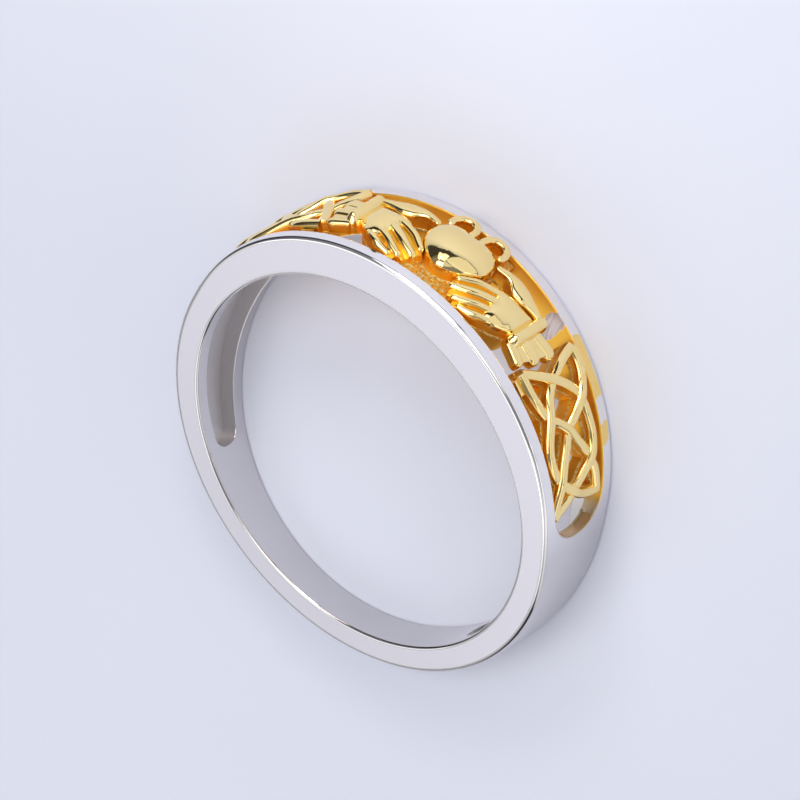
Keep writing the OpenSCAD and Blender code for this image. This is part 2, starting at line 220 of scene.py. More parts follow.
# The web that ties a knot's first corner to the near rail
# Columns: share of the knot's length, share of the half window there
KNOT_TIE = [[0.0, 0.80], [0.02, 0.96], [0.12, 0.98], [0.12, 0.80]]

# Profiles of the strands. Columns: spacing of the rings along it, corners of a ring, squareness of its
# top where 2 is round, and the height of that top as a share of half its width
FINGER_PROFILE = (0.05, 24, 2.1, 0.8)
BED_PROFILE = (0.06, 16, 3, 0.2)
THUMB_PROFILE = (0.05, 28, 2.2, 0.55)
CROWN_PROFILE = (0.05, 20, 2.3, 0.8)
FOLD_PROFILE = (0.05, 24, 2.2, 0.75)
KNOT_PROFILE = (0.06, 22, 2.05, 0.95)
# The power that makes a strand's walls upright, the least share of its width at a tip, and the tip's
# drop as a share of half its width
WALL_POWER = 0.12
TIP_WIDTH = 0.2
TIP_DROP = 0.8
# How much closer a boss's rings lie near its edge
RING_CROWDING = 1.6
# Steps between two rows of a table, along a sleeve's fold, along the plate and round a cuff's end
OUTLINE_STEPS = 6
PALM_STEPS = 4
STRAND_STEPS = 12
FOLD_STEPS = 30
PLATE_STEPS = 48
CUFF_STEPS = 16
# Passes that take the kinks out of a knot's strand
KNOT_SMOOTHING = 14
# Depth that the beds between the fingers are given for their colour, over their own, so that they get more
# of the painted shade of the recesses
BED_SHADE_DEPTH = 0.45
# Share of the cuff's rise at its edge
CUFF_EDGE = 0.35
# The sleeve's web begins and ends a little inside its folds
WEB_BEGINS = 0.05
WEB_REACH = 0.85
# Rise of the web that ties a knot to the rail
TIE_RISE = 0.02
# Points of the inlay nearer than this are one, edges shorter than this go, and edges sharper than this,
# in degrees, stay sharp
SAME_POINT = 1e-5
NO_LENGTH = 1e-6
SHARP_FROM = 50

# Colours
SILVER_DARK = (0.63, 0.61, 0.62, 1)
SILVER_PALE = (0.70, 0.68, 0.69, 1)
# Painted light: the paler silver towards the front of the band
SILVER_PAINTED_LIGHT = (0.90, 0.88, 0.88, 1)
SILVER_SATIN = (0.80, 0.79, 0.87, 1)
BARE_DARK = (0.42, 0.36, 0.36, 1)
BARE_PALE = (0.66, 0.58, 0.57, 1)
PLATED_TOP = (1.0, 0.74, 0.28, 1)
# Gold plate painted a deeper orange as the painted shade of the window's recess
PLATED_WALL_PAINTED_SHADE = (1.0, 0.60, 0.09, 1)
PLATED_END = (0.84, 0.70, 0.50, 1)
GOLD_DARK = (1.0, 0.76, 0.32, 1)
GOLD_PALE = (1.0, 0.82, 0.40, 1)
# Painted shade of the recesses
GOLD_PAINTED_SHADE = (1.0, 0.54, 0.06, 1)
# Painted glints on the plate's grit
GOLD_GRIT_GLINT = (1.0, 0.86, 0.42, 1)
PAPER_DARK = (0.72, 0.75, 0.87, 1)
PAPER_PALE = (0.82, 0.83, 0.92, 1)
SKY = (0.9, 0.9, 1, 1)
# From and to which angle the window's walls are bare and brushed, and the far rail's top is plated
BARE_PATCH = (-27.6, -22.6)
PLATED_PATCHES = ((-45, -30.5), (-56, -51.5))
# How far above and below the plate's top the gold is gritty, with painted glints on the grit
PLATE_BAND = 0.06

# The photograph's camera: what it looks at, in metres, from where, in degrees and metres, how far it is
# turned about its own axis, and its lens in millimetres
CAMERA_TARGET = (0.000586, -0.000809, 0.000925)
CAMERA_AZIMUTH = -31.763
CAMERA_ELEVATION = 49.842
CAMERA_ROLL = 117.364
CAMERA_DISTANCE = 0.5
CAMERA_LENS = 539.77
# Half the floor's side, in metres
FLOOR_HALF = 0.6
# The lights, all aimed at the ring. Columns: name, place, size along and across, power
LIGHTS = (
    ("top_softbox", (0.03, -0.08, 0.30), 0.26, 0.22, 0.38),
    ("fill_softbox", (-0.22, -0.356, 0.497), 0.34, 0.30, 0.16),
    ("pool_light", (0.015, -0.046, 0.030), 0.014, 0.014, 0.0052),
    ("side_softbox", (0.0188, 0.0452, 0.0354), 0.05, 0.03, 0.0012),
    ("high_softbox", (0.07, 0.18, 0.235), 0.26, 0.18, 0.13),
    ("back_softbox", (0.12, 0.27, 0.105), 0.34, 0.20, 0.078),
    ("corner_softbox", (-0.13, 0.20, 0.25), 0.34, 0.20, 0.09),
    ("front_softbox", (0.13, -0.38, 0.22), 0.40, 0.24, 0.42),
    ("near_softbox", (-0.24, -0.26, 0.115), 0.44, 0.22, 0.24),
    ("left_softbox", (-0.33, 0.12, 0.115), 0.50, 0.20, 0.30),
)


def round_at(a, r, shift):
    """Distance of one round's surface from the finger hole's axis"""
    a = math.radians(a)
    return shift * math.cos(a) + math.sqrt(r * r - (shift * math.sin(a)) ** 2)


def surface_at(a):
    """The band's outer radius: the greater of its two rounds, with a soft passage between them"""
    back, front = round_at(a, BACK_R, BACK_SHIFT), round_at(a, FRONT_R, FRONT_SHIFT)
    apart = math.sqrt((back - front) ** 2 + ROUNDS_SOFT * ROUNDS_SOFT)
    return (back + front + apart) / 2 - ROUNDS_SOFT / 4


def half_width(a, r):
    return SIDE_MID + TAPER * r * math.cos(math.radians(a))


def half_window(a, r=None):
    return half_width(a, surface_at(a) if r is None else r) - RAIL_W


def degrees_along(length):
    return math.degrees(length / FRONT_REACH)


def place(a, across, r):
    """A point at an angle from the front, across towards the near side, at a radius"""
    return Vector((r * math.sin(math.radians(a)), -r * math.cos(math.radians(a)), across))


def outward(a):
    """The direction away from the finger hole's axis"""
    return place(a, 0, 1)


def surface_normal(a):
    step = 0.5
    climb = (surface_at(a + step) - surface_at(a - step)) / math.radians(2 * step)
    return (outward(a) - outward(a + 90) * (climb / surface_at(a))).normalized()


def curve(rows, steps):
    """A smooth curve through a table's rows, every column alike"""
    rows = np.array(rows, float)
    made = []
    for i in range(len(rows) - 1):
        a, b, c, d = rows[max(i - 1, 0)], rows[i], rows[i + 1], rows[min(i + 2, len(rows) - 1)]
        for s in range(steps):
            t = s / steps
            made.append(
                b + (c - a) * t / 2 + (2 * a - 5 * b + 4 * c - d) * t * t / 2
                + (3 * b - a - 3 * c + d) * t ** 3 / 2
            )
    return made + [rows[-1]]


def smoothed(rows, times):
    """The same rows with the kinks taken out, the first and the last unmoved"""
    rows = np.array(rows, float)
    for _ in range(times):
        rows[1:-1] = (rows[:-2] + 2 * rows[1:-1] + rows[2:]) / 4
    return rows


def inside(points, outline):
    """Which of the points lie inside a closed outline"""
    points, outline = np.array(points), np.array(outline)
    hits = np.zeros(len(points), bool)
    for p, q in zip(outline, np.roll(outline, -1, axis=0)):
        if p[1] == q[1]:
            continue
        crosses = (points[:, 1] < p[1]) != (points[:, 1] < q[1])
        reach = p[0] + (points[:, 1] - p[1]) * (q[0] - p[0]) / (q[1] - p[1])
        hits ^= crosses & (points[:, 0] < reach)
    return hits


def stand(name, data):
    """A new object in the scene"""
    thing = bpy.data.objects.new(name, data)
    bpy.context.scene.collection.objects.link(thing)
    return thing


def note(mesh, label, values):
    """Writes one number for each point of a mesh"""
    mesh.attributes.new(label, "FLOAT", "POINT").data.foreach_set("value", values)


# Kinds of metal on the band
POLISHED, SATIN, WALL, CAST = range(4)


class Skin:
    """A closed surface put together from sheets, whose corners carry their own normals"""

    def __init__(self):
        self.found, self.points, self.faces, self.normals, self.kinds = {}, [], [], [], []

    def number(self, point, kind):
        key = tuple(round(c * WELD_GRID + WELD_OFFSET) for c in point)
        if key not in self.found:
            self.found[key] = len(self.points)
            self.points.append(tuple(point))
            self.kinds.append(kind)
        return self.found[key]

    def face(self, corners):
        """Corners are points with their normals and the kind of metal there"""
        numbers, kept = [], []
        for point, normal, kind in corners:
            n = self.number(point, kind)
            if n not in numbers:
                numbers.append(n)
                kept.append((point, normal))
        if len(numbers) < 3:
            return
        first, second = kept[2][0] - kept[0][0], kept[-1][0] - kept[1][0]
        if first.cross(second).dot(kept[0][1] + kept[1][1] + kept[2][1]) < 0:
            numbers, kept = numbers[::-1], kept[::-1]
        self.faces.append(numbers)
        self.normals += [tuple(normal) for _, normal in kept]

    def sheet(self, rows, closed=False):
        """Quads between rows of corners"""
        for low, high in zip(rows, rows[1:] + (rows[:1] if closed else [])):
            for j in range(len(low) - 1):
                self.face([low[j], low[j + 1], high[j + 1], high[j]])

    def fill(self, outline, holes, step, stretch, lay):
        """Triangles inside a closed outline and outside the holes. Outlines hold a place on the flat and a
        corner, and lay() gives the corner of any other place on the flat."""
        loops = [outline, *holes]
        flats = [[Vector((flat[0] * stretch, flat[1])) for flat, _ in loop] for loop in loops]
        rim = np.array([tuple(p) for loop in flats for p in loop])
        low, high = rim.min(0), rim.max(0)

        def open_at(points):
            """Which points lie inside the outline and outside the holes"""
            hit = inside(points, [tuple(p) for p in flats[0]])
            for loop in flats[1:]:
                hit &= ~inside(points, [tuple(p) for p in loop])
            return hit

        grid = np.array([
            (x, y)
            for x in np.arange(low[0] + step / 2, high[0], step)
            for y in np.arange(low[1] + step / 2, high[1], step)
        ])
        grid = grid[open_at(grid)]
        clear = np.array([np.min(np.hypot(*(rim - g).T)) > step * CLEAR_OF_RIM for g in grid], bool)
        grid = grid[clear] if len(grid) else grid
        places = [p for loop in flats for p in loop] + [Vector(g) for g in grid]
        edges, start = [], 0
        for loop in flats:
            edges += [(start + i, start + (i + 1) % len(loop)) for i in range(len(loop))]
            start += len(loop)
        out, _, triangles, origin, _, _ = delaunay_2d_cdt(places, edges, [], 0, 1e-9)
        corners = [c for loop in loops for _, c in loop] + [lay(g[0] / stretch, g[1]) for g in grid]
        middles = np.array([[sum(out[i][k] for i in t) / 3 for k in (0, 1)] for t in triangles])
        for t, kept in zip(triangles, open_at(middles)):
            if kept:
                self.face([corners[origin[i][0]] for i in t])

    def piece(self, name):
        mesh = bpy.data.meshes.new(name)
        mesh.from_pydata(self.points, [], self.faces)
        turns = [math.degrees(math.atan2(x, -y)) for x, y, _ in self.points]
        reaches = [math.hypot(x, y) for x, y, _ in self.points]
        for label, values in (
            ("satin", [kind == SATIN for kind in self.kinds]),
            ("wall", [kind == WALL for kind in self.kinds]),
            ("cast", [kind == CAST for kind in self.kinds]),
            ("turn", turns),
            ("ahead", [-p[1] / r for p, r in zip(self.points, reaches)]),
            ("across", [p[2] for p in self.points]),
            ("inset", [half_width(a, r) - abs(p[2]) for p, a, r in zip(self.points, turns, reaches)]),
        ):
            note(mesh, label, values)
        mesh.transform(LAID_DOWN)
        mesh.shade_smooth()
        turned = LAID_DOWN.to_3x3()
        mesh.normals_split_custom_set([(turned @ Vector(n)).normalized() for n in self.normals])
        return stand(name, mesh)


def side_row(a, side):
    """The rounded profile of one side of the band, from the finger hole's wall to the outside"""
    outer, face = surface_at(a), Vector((0, TAPER, side)).normalized()
    out, away = surface_normal(a), outward(a)
    row, steps = [], 5
    for i in range(steps + 1):
        t = math.pi / 2 * i / steps
        r = BORE_R + BORE_ROUND * (1 - math.cos(t))
        across = half_width(a, r) - BORE_ROUND * (1 - math.sin(t))
        normal = (-away * math.cos(t) + face * math.sin(t)).normalized()
        row.append((place(a, side * across, r), normal, POLISHED))
    low, high = BORE_R + BORE_ROUND, outer - EDGE_ROUND
    for share in (0.04, 0.35, 0.65, 0.96):
        r = low + (high - low) * share
        row.append((place(a, side * half_width(a, r), r), face, SATIN))
    for i in range(steps + 2):
        t = math.pi / 2 * i / (steps + 1)
        r = outer - EDGE_ROUND * (1 - math.sin(t))
        across = half_width(a, r) - EDGE_ROUND * (1 - math.cos(t))
        normal = (out * math.sin(t) + face * math.cos(t)).normalized()
        row.append((place(a, side * across, r), normal, POLISHED))
    return row


def end_shape(theta, length, half):
    """A rounded end of the window: distance past its turn, share of the half width, and the normal there"""
    power = 2 / END_SQUARENESS
    c, s = math.cos(theta), math.sin(theta)
    nx = abs(c) ** (2 - power) / length
    nw = math.copysign(abs(s) ** (2 - power), s) / half
    size = math.hypot(nx, nw)
    return length * abs(c) ** power, math.copysign(abs(s) ** power, s), nx / size, nw / size


def outline(turn, end_length, angles):
    """A closed outline round the window or the recess, as functions of a radius and an offset outwards.
    Each gives the angle, the place across and the direction that faces the opening."""

    def rail(a, side):
        return lambda r, off: (a, side * (half_window(a, r) + off), Vector((0, -TAPER, -side)).normalized())

    def end(theta, sign):
        def at(r, off):
            x, share, nx, nw = end_shape(theta, end_length, half_window(turn, r))
            w = share * half_window(turn + math.degrees(math.asin(x / r)), r) + nw * off
            x += nx * off
            return (
                sign * (turn + math.degrees(math.asin(x / r))), w,
                (outward(sign * (turn + 90)) * (-nx * sign) + Vector((0, 0, -nw))).normalized(),
            )
        return at

    bends = [math.pi / 2 - math.pi * i / END_STEPS for i in range(1, END_STEPS)]
    return [
        *(rail(a, 1) for a in angles), *(end(t, 1) for t in bends),
        *(rail(a, -1) for a in reversed(angles)), *(end(-t, -1) for t in bends),
    ]


def silver_band():
    skin = Skin()
    turns = list(range(-180, 180))
    for side in (-1, 1):
        skin.sheet([side_row(a, side) for a in turns], closed=True)
    whole, far_whole = math.floor(WINDOW_TURN), math.floor(RECESS_TURN)
    window_angles = [-WINDOW_TURN, *range(-whole, whole + 1), WINDOW_TURN]
    recess_angles = [
        -RECESS_TURN, *range(-far_whole, -whole),
        *window_angles,
        *range(whole + 1, far_whole + 1), RECESS_TURN,
    ]
    window = outline(WINDOW_TURN, WINDOW_END_R, window_angles)
    recess = outline(RECESS_TURN, RECESS_END_R, recess_angles)

    # The window's rounded rim and its wall, down to the recess
    rows, rim = [], []
    for at in window:
        row, steps = [], 5
        outside = surface_at(at(ABOUT_SURFACE, 0)[0])
        for i in range(steps + 1):
            t = math.pi / 2 * i / steps
            a, across, wall = at(outside, RIM_ROUND * (1 - math.sin(t)))
            r = surface_at(a) - RIM_ROUND * (1 - math.cos(t))
            normal = (surface_normal(a) * math.cos(t) + wall * math.sin(t)).normalized()
            row.append((place(a, across, r), normal, WALL if i > 1 else POLISHED))
            if i == 0:
                rim.append(((a, across), row[0]))
        top = outside - RIM_ROUND
        for share in (0.3, 0.6, 1):
            r = top + (RECESS_R - top) * share
            a, across, wall = at(r, 0)
            row.append((place(a, across, r), wall, WALL))
        rows.append(row)
    skin.sheet(rows, closed=True)

    # The recess's wall, down to the finger hole with a small round
    rows, lip = [], []
    for at in recess:
        row, steps = [], 3
        for r in (RECESS_R, (RECESS_R + BORE_R) / 2, BORE_R + LIP_ROUND):
            a, across, wall = at(r, 0)
            row.append((place(a, across, r), wall, WALL if abs(a) < PLATED_TO else CAST))
        for i in range(1, steps + 1):
            t = math.pi / 2 * i / steps
            a, across, wall = at(BORE_R, LIP_ROUND * (1 - math.cos(t)))
            r = BORE_R + LIP_ROUND * (1 - math.sin(t))
            normal = (wall * math.cos(t) - outward(a) * math.sin(t)).normalized()
            row.append((place(a, across, r), normal, POLISHED))
        lip.append(((a, across), row[-1]))
        rows.append(row)
    skin.sheet(rows, closed=True)

    # The recess's ceiling on each side, between the window's end and its own
    first, last = len(window_angles), len(recess_angles)
    bends = len(window) // 2 - first
    for sign in (1, -1):
        start = first - 1 if sign > 0 else 2 * first + bends - 1
        near = [window[(start + i) % len(window)] for i in range(bends + 2)]
        start = last - 1 if sign > 0 else 2 * last + bends - 1
        far = [recess[(start + i) % len(recess)] for i in range(bends + 2)]
        extra = [a for a in recess_angles if WINDOW_TURN < a < RECESS_TURN]
        sides = {
            s: [outline(RECESS_TURN, RECESS_END_R, [sign * a])[0 if s > 0 else 1 + bends] for a in extra]
            for s in (1, -1)
        }
        loop = near + sides[-sign] + far[::-1] + sides[sign][::-1]
        flat = []
        for at in loop:
            a, across, _ = at(RECESS_R, 0)
            flat.append(((a, across), (place(a, across, RECESS_R), -outward(a), CAST)))
        skin.fill(
            flat, [], CEILING_STEP, math.radians(RECESS_R),
            lambda a, across: (place(a, across, RECESS_R), -outward(a), CAST),
        )

    # The outside and the finger hole's wall
    seam = [-1 + 2 * i / SEAM_STEPS for i in range(1, SEAM_STEPS)]

    def around(radius_at, half_at, normal_at, hole):
        def lay(a, across):
            return place(a, across, radius_at(a)), normal_at(a), POLISHED
        turns = list(range(-180, 181))
        edge = [((a, -half_at(a)), lay(a, -half_at(a))) for a in turns]
        edge += [((180, s * half_at(180)), lay(180, s * half_at(180))) for s in seam]
        edge += [((a, half_at(a)), lay(a, half_at(a))) for a in reversed(turns)]
        edge += [((-180, s * half_at(-180)), lay(-180, s * half_at(-180))) for s in reversed(seam)]
        skin.fill(edge, [hole], ROUND_STEP, math.radians(BACK_R), lay)

    around(surface_at, lambda a: half_width(a, surface_at(a)) - EDGE_ROUND, surface_normal, rim)
    around(lambda a: BORE_R, lambda a: half_width(a, BORE_R) - BORE_ROUND, lambda a: -outward(a), lip)
    return skin.piece("silver_band")


class Signal:
    """A number or colour on a socket, so that maths on it is written as a plain expression"""

    def __init__(self, bench, socket):
        self.bench, self.socket = bench, socket

    def _do(self, operation, *values):
        return self.bench.node("ShaderNodeMath", {"operation": operation}, dict(enumerate(values)))

    def __add__(self, other):
        return self._do("ADD", self, other)

    __radd__ = __add__

    def __sub__(self, other):
        return self._do("SUBTRACT", self, other)

    def __rsub__(self, other):
        return self._do("SUBTRACT", other, self)

    def __mul__(self, other):
        return self._do("MULTIPLY", self, other)

    __rmul__ = __mul__

    def __rtruediv__(self, other):
        return self._do("DIVIDE", other, self)

    def __pow__(self, other):
        return self._do("POWER", self, other)

    def __lt__(self, other):
        return self._do("LESS_THAN", self, other)

    def does(self, operation, *others):
        return self._do(operation, self, *others)

    def rises(self, low, high):
        """0 below low and 1 above high"""
        return self.bench.node(
            "ShaderNodeMapRange", {"interpolation_type": "SMOOTHSTEP"},
            {0: self, 1: low, 2: high, 3: 0, 4: 1},
        )

    def between(self, low, high, soft):
        """1 from low to high and 0 outside"""
        return self.rises(low - soft, low + soft) - self.rises(high - soft, high + soft)

    def out(self, name):
        return Signal(self.bench, self.socket.node.outputs[name])


class Bench:
    """Where the nodes of one tree are made"""

    def __init__(self, tree):
        self.tree = tree

    def node(self, kind, settings=None, sockets=None, out=0):
        """A node of any type: its settings first, then the values or links of its sockets"""
        node = self.tree.nodes.new(kind)
        for name, value in (settings or {}).items():
            setattr(node, name, value)
        for name, value in (sockets or {}).items():
            if isinstance(value, Signal):
                self.tree.links.new(value.socket, node.inputs[name])
            else:
                node.inputs[name].default_value = value
        return Signal(self, node.outputs[out]) if node.outputs else node

    def attribute(self, label):
        return self.node("ShaderNodeAttribute", {"attribute_name": label}, out="Fac")

    def vector(self, operation, *values, out=0):
        sockets = dict(enumerate(values))
        if operation == "SCALE":
            sockets = {0: values[0], "Scale": values[1]}
        return self.node("ShaderNodeVectorMath", {"operation": operation}, sockets, out)

    def blend(self, share, low, high):
        """A mix of two colours"""
        return self.node(
            "ShaderNodeMix", {"data_type": "RGBA"}, {"Factor": share, 6: low, 7: high}, out=2
        )


def cast_strand_tree():
    """Geometry Nodes: a cast strand with a rounded top and upright walls, along every path it is given"""
    tree = bpy.data.node_groups.new("cast_strand", "GeometryNodeTree")
    sockets = {}
    for name, kind in (
        ("Path", "Geometry"), ("Spacing", "Float"), ("Around", "Int"), ("Squareness", "Float"),
        ("Crown", "Float"), ("Floor", "Float"), ("ShadeDepth", "Float"), ("Metal", "Material"),
    ):
        sockets[name] = tree.interface.new_socket(name, in_out="INPUT", socket_type="NodeSocket" + kind)
    tree.interface.new_socket("Strand", in_out="OUTPUT", socket_type="NodeSocketGeometry")
    bench = Bench(tree)
    given = tree.nodes.new("NodeGroupInput")
    take = {name: Signal(bench, given.outputs[name]) for name in sockets}

    def keep(geometry, name, value, kind="FLOAT"):
        return bench.node(
            "GeometryNodeStoreNamedAttribute", {"data_type": kind, "domain": "POINT"},
            {"Geometry": geometry, "Name": name, "Value": value},
        )

    def kept(name, kind="FLOAT"):
        return bench.node("GeometryNodeInputNamedAttribute", {"data_type": kind}, {"Name": name})

    path = bench.node("GeometryNodeMeshToCurve", {}, {"Mesh": take["Path"]})
    path = bench.node(
        "GeometryNodeResampleCurve", {"mode": "LENGTH"}, {"Curve": path, "Length": take["Spacing"]}
    )
    spot = bench.node("GeometryNodeInputPosition")
    away = bench.vector("NORMALIZE", bench.vector("MULTIPLY", spot, (1, 1, 0)))
    ahead = bench.node("GeometryNodeInputTangent")
    path = keep(path, "spine", spot, "FLOAT_VECTOR")
    path = keep(path, "away", away, "FLOAT_VECTOR")
    sideways = bench.vector("NORMALIZE", bench.vector("CROSS_PRODUCT", ahead, away))
    path = keep(path, "sideways", sideways, "FLOAT_VECTOR")

    ring = bench.node(
        "GeometryNodeCurvePrimitiveCircle", {"mode": "RADIUS"},
        {"Resolution": take["Around"], "Radius": 1.0},
    )
    flat = bench.node("ShaderNodeSeparateXYZ", {}, {0: spot})
    x, y = flat.out("X"), flat.out("Y")
    power = 2 / take["Squareness"]
    below = y < -0.001
    side_power = power * (1 - below) + WALL_POWER * below
    ring = keep(ring, "side", x.does("SIGN") * x.does("ABSOLUTE") ** side_power)
    ring = keep(ring, "up", y.does("SIGN") * y.does("ABSOLUTE") ** power)

    strand = bench.node(
        "GeometryNodeCurveToMesh", {}, {"Curve": path, "Profile Curve": ring, "Fill Caps": True}
    )
    half, up = kept("half"), kept("up")
    spine = kept("spine", "FLOAT_VECTOR")
    crown = take["Crown"] * half
    reach = bench.vector("LENGTH", bench.vector("MULTIPLY", spine, (1, 1, 0)), out="Value")
    rise = (up.does("MAXIMUM", 0.0) - 1) * crown + up.does("MINIMUM", 0.0) * (reach - crown - take["Floor"])
    # The added depth only darkens the gold through its painted shade
    strand = keep(strand, "depth", take["ShadeDepth"] - rise)
    moved = bench.vector(
        "ADD", spine,
        bench.vector(
            "ADD", bench.vector("SCALE", kept("sideways", "FLOAT_VECTOR"), kept("side") * half),
            bench.vector("SCALE", kept("away", "FLOAT_VECTOR"), rise),
        ),
    )
    strand = bench.node("GeometryNodeSetPosition", {}, {"Geometry": strand, "Position": moved})
    strand = bench.node("GeometryNodeRealizeInstances", {}, {"Geometry": strand})
    strand = bench.node("GeometryNodeSetMaterial", {}, {"Geometry": strand, "Material": take["Metal"]})
    end = tree.nodes.new("NodeGroupOutput")
    tree.links.new(strand.socket, end.inputs[0])
    return tree, {name: socket.identifier for name, socket in sockets.items()}


def cast_strands(paths, metal, profile, floor=INLAY_FLOOR, shade_depth=0.0):
    """One mesh of strands. A path's row holds an angle, a place across, a height above the band and a
    width. A shade depth counts the strands as that much deeper, so their gold gets more painted shade and
    is darker."""
    tree, inputs = STRAND_TREE
    spacing, around, squareness, crown = profile
    points, edges, halves = [], [], []
    for path in paths:
        edges += [(len(points) + i, len(points) + i + 1) for i in range(len(path) - 1)]
        points += [place(a, across, surface_at(a) + height) for a, across, height, _ in path]
        halves += [width / 2 for _, _, _, width in path]
    mesh = bpy.data.meshes.new("paths")
    mesh.from_pydata(points, edges, [])
    note(mesh, "half", halves)
    carrier = stand("paths", mesh)
    modifier = carrier.modifiers.new("strand", "NODES")
    modifier.node_group = tree
    for name, value in (
        ("Spacing", spacing), ("Around", around), ("Squareness", squareness), ("Crown", crown),
        ("Floor", floor), ("ShadeDepth", shade_depth), ("Metal", metal),
    ):
        modifier[inputs[name]] = value
    bpy.context.view_layer.update()
    seen = carrier.evaluated_get(bpy.context.evaluated_depsgraph_get())
    made = bpy.data.meshes.new_from_object(seen)
    bpy.data.objects.remove(carrier)
    return made


def rounded_ends(path, first=False):
    """The path with its last end, and on request its first, narrowed and lowered to a round tip"""
    path = [list(row) for row in path]
    for rows in (path[::-1], path) if first else (path[::-1],):
        half, gone, before = rows[0][3] / 2, 0, rows[0]
        for row in rows:
            gone += math.hypot(math.radians(row[0] - before[0]) * FRONT_REACH, row[1] - before[1])
            before = list(row)
            if gone >= half:
                break
            share = math.sqrt(1 - (1 - gone / half) ** 2)
            row[3] *= max(share, TIP_WIDTH)
            row[2] -= half * TIP_DROP * (1 - share)
    return path


def form(name, points, faces, depths):
    """A closed mesh whose points know how deep they lie below the top of their own form"""
    mesh = bpy.data.meshes.new(name)
    mesh.from_pydata(points, [], faces)
    note(mesh, "depth", depths)
    return mesh


def boss(outline, centre, rise, levels=14, power=2.4, soft=0.62, middles=None, floor=INLAY_FLOOR):
    """A raised form with a domed top. An outline's row holds an angle, a place across and the share of the
    rise that its edge has. Its rings close in on the centre, or each point on its own middle."""
    n = len(outline)
    middles = middles or [centre] * n
    points = [place(a, across, floor) for a, across, _ in outline]
    depths = [surface_at(a) + rise - floor for a, _, _ in outline]
    for k in range(levels):
        q = 1 - (k / levels) ** RING_CROWDING
        dome = (1 - q ** power) ** soft
        for (a, across, edge), middle in zip(outline, middles):
            a = middle[0] + (a - middle[0]) * q
            across = middle[1] + (across - middle[1]) * q
            points.append(place(a, across, surface_at(a) + rise * (edge + (1 - edge) * dome)))
            depths.append(0)
    if middles[0] != centre:
        points += [place(*middle, surface_at(middle[0]) + rise) for middle in middles]
        depths += [0] * n
        levels += 1
    points += [place(*centre, surface_at(centre[0]) + rise), place(*centre, floor)]
    top, under = len(points) - 2, len(points) - 1
    faces = []
    for i in range(n):
        j = (i + 1) % n
        faces += [(k * n + i, k * n + j, k * n + n + j, k * n + n + i) for k in range(levels)]
        faces += [(levels * n + i, levels * n + j, top), (j, i, under)]
    return form("boss", points, faces, depths + [0, 1])


def mirrored(mesh):
    """The same form on the other side of the heart"""
    other = mesh.copy()
    other.transform(Matrix.Scale(-1, 4, (1, 0, 0)))
    return other


def join(name, meshes, metal):
    """One piece from closed meshes, laid down with the ring, its sharp edges kept"""
    whole = bmesh.new()
    for mesh in meshes:
        whole.from_mesh(mesh)
    bmesh.ops.remove_doubles(whole, verts=whole.verts, dist=SAME_POINT)
    bmesh.ops.dissolve_degenerate(whole, edges=whole.edges, dist=NO_LENGTH)
    bmesh.ops.recalc_face_normals(whole, faces=whole.faces)
    mesh = bpy.data.meshes.new(name)
    whole.to_mesh(mesh)
    whole.free()
    for extra in ("half", "spine", "away", "sideways", "side", "up"):
        if extra in mesh.attributes:
            mesh.attributes.remove(mesh.attributes[extra])
    co = np.zeros(len(mesh.vertices) * 3)
    mesh.vertices.foreach_get("co", co)
    co = co.reshape(-1, 3)
    angle = np.degrees(np.arctan2(co[:, 0], -co[:, 1]))
    height = np.hypot(co[:, 0], co[:, 1]) - np.array([surface_at(a) for a in angle])
    note(mesh, "height", height)
    mesh.transform(LAID_DOWN)
    mesh.shade_smooth()
    mesh.set_sharp_from_angle(angle=math.radians(SHARP_FROM))
    mesh.materials.clear()
    mesh.materials.append(metal)
    return stand(name, mesh)


def heart():
    half = degrees_along(HEART_W / 2)
    rows = curve(HEART, OUTLINE_STEPS)
    right = [(s * half, HEART_MID + t * HEART_L, edge) for s, t, edge in rows]
    left = [(-a, across, edge) for a, across, edge in right[-2:0:-1]]
    return boss(right + left, (0, HEART_MID), HEART_RISE, levels=20, power=2, soft=0.62)


def palm():
    rows = [(s * CUFF_AT, t * FRONT_HALF, edge) for s, t, edge in curve(PALM + PALM[:1], PALM_STEPS)[:-1]]
    middle = (PALM_MIDDLE[0] * CUFF_AT, PALM_MIDDLE[1] * FRONT_HALF)
    return boss(rows, middle, HAND_RISE, levels=16, power=2, soft=0.75)


def cuff():
    """A bar with round ends and a rounded top"""
    r, straight = CUFF_T / 2, (CUFF_L - CUFF_T) / 2
    rows, middles = [], []
    for side in (1, -1):
        middle = CUFF_MID + side * straight
        for i in range(CUFF_STEPS + 1):
            t = math.pi * i / CUFF_STEPS + (0 if side > 0 else math.pi)
            middles.append((CUFF_AT, middle))
            rows.append((CUFF_AT + degrees_along(r * math.cos(t)), middle + r * math.sin(t), CUFF_EDGE))
    return boss(
        rows, (CUFF_AT, CUFF_MID), CUFF_RISE, power=2, soft=0.8, middles=middles, floor=SLEEVE_FLOOR
    )


def plate():
    """The floor under the heart and the fingers, which reaches both rails"""
    top, made = FRONT_REACH - PLATE_DEPTH, []
    for share, begin in PLATE:
        half, rows = share * CUFF_AT, []
        for i in range(PLATE_STEPS + 1):
            a = -half + 2 * half * i / PLATE_STEPS
            corners = []
            for near, r in ((0, top), (1, top), (1, top - PLATE_T), (0, top - PLATE_T)):
                rail = half_window(a, r) - FIT_GAP
                corners.append(place(a, rail if near else max(begin * FRONT_HALF, -rail), r))
            rows.append(corners)
        points = [p for row in rows for p in row]
        faces = [(0, 1, 2, 3), tuple(len(points) - 1 - i for i in range(4))]
        for i in range(PLATE_STEPS):
            for k in range(4):
                faces.append((4 * i + k, 4 * i + (k + 1) % 4, 4 * i + 4 + (k + 1) % 4, 4 * i + 4 + k))
        made.append(form("plate", points, faces, [PLATE_T] * len(points)))
    return made


